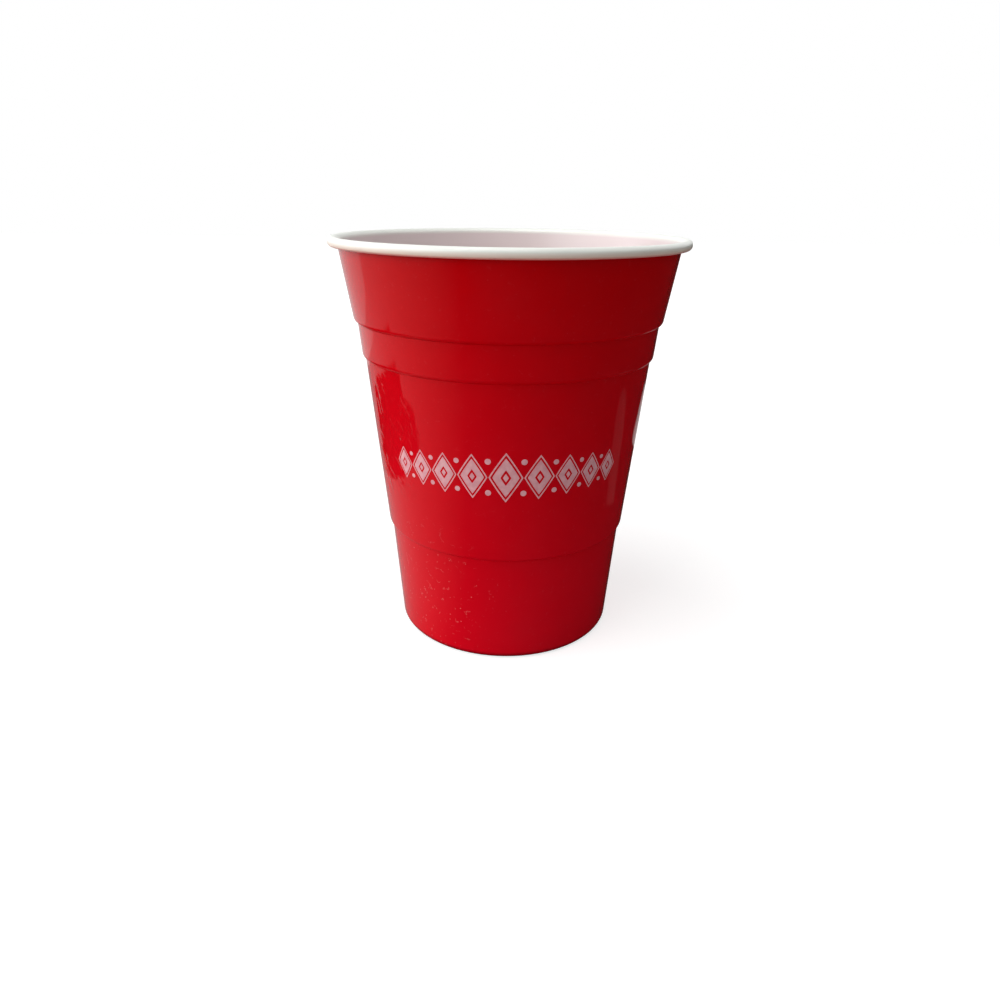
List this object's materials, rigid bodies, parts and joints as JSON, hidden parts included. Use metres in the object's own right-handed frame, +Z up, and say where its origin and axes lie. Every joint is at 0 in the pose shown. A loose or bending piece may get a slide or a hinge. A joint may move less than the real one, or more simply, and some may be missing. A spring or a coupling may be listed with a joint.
{
  "type": "plastic party cup",
  "caption": "Tapered drinking cup formed from thin plastic sheet, red outside and white inside, with stepped wall, rolled lip and raised base panel.",
  "frame": {"origin": "centre of the circle that the cup stands on, at table level", "axes": "+Z up along the cup's axis, out of its mouth; -Y towards the viewer, on the side with the print"},
  "size_m": [0.0956, 0.0956, 0.112],
  "materials": {
    "red_plastic": "glossy"
  },
  "bodies": {
    "root": {"cup": "red_plastic"}
  },
  "joints": []
}
